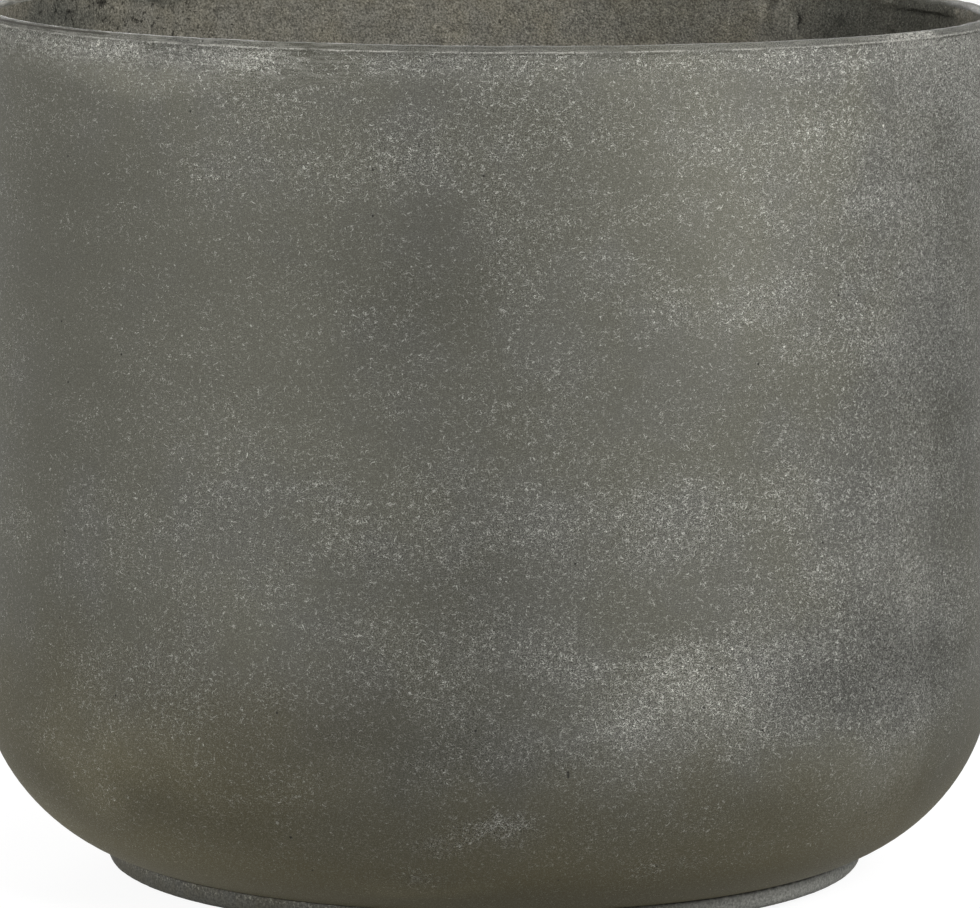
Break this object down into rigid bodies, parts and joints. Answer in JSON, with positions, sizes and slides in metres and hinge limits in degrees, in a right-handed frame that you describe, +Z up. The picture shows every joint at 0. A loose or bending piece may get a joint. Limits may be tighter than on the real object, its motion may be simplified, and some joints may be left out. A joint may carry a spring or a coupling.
{
  "type": "flower pot",
  "caption": "Round fibre-cement floor planter with a rounded base corner, thin bevelled rim and low foot ring, and a rubber plug that lifts out of its drain hole.",
  "frame": {"origin": "middle of the floor plane under the pads, on the pot's axis", "axes": "+Z up along the pot's axis, -Y the side that faces the picture's viewer"},
  "size_m": [0.5039, 0.504, 0.4267],
  "materials": {
    "shell_cement": "matt, dark olive-grey fibre cement with pale fibre scratches and haze",
    "foot_cement": "matt, sandy cast cement",
    "plug_rubber": "satin black moulded rubber",
    "pad_rubber": "matt black rubber"
  },
  "bodies": {
    "pot": {"pot_shell": "shell_cement", "foot_ring": "foot_cement", "floor_pad_front": "pad_rubber", "floor_pad_back_right": "pad_rubber", "floor_pad_back_left": "pad_rubber"},
    "plug": {"drain_plug": "plug_rubber"}
  },
  "joints": [
    {"name": "plug_pull", "type": "slide", "parent": "pot", "child": "plug", "axis": [0, 0, 1], "range_m": [0, 0.45]}
  ]
}
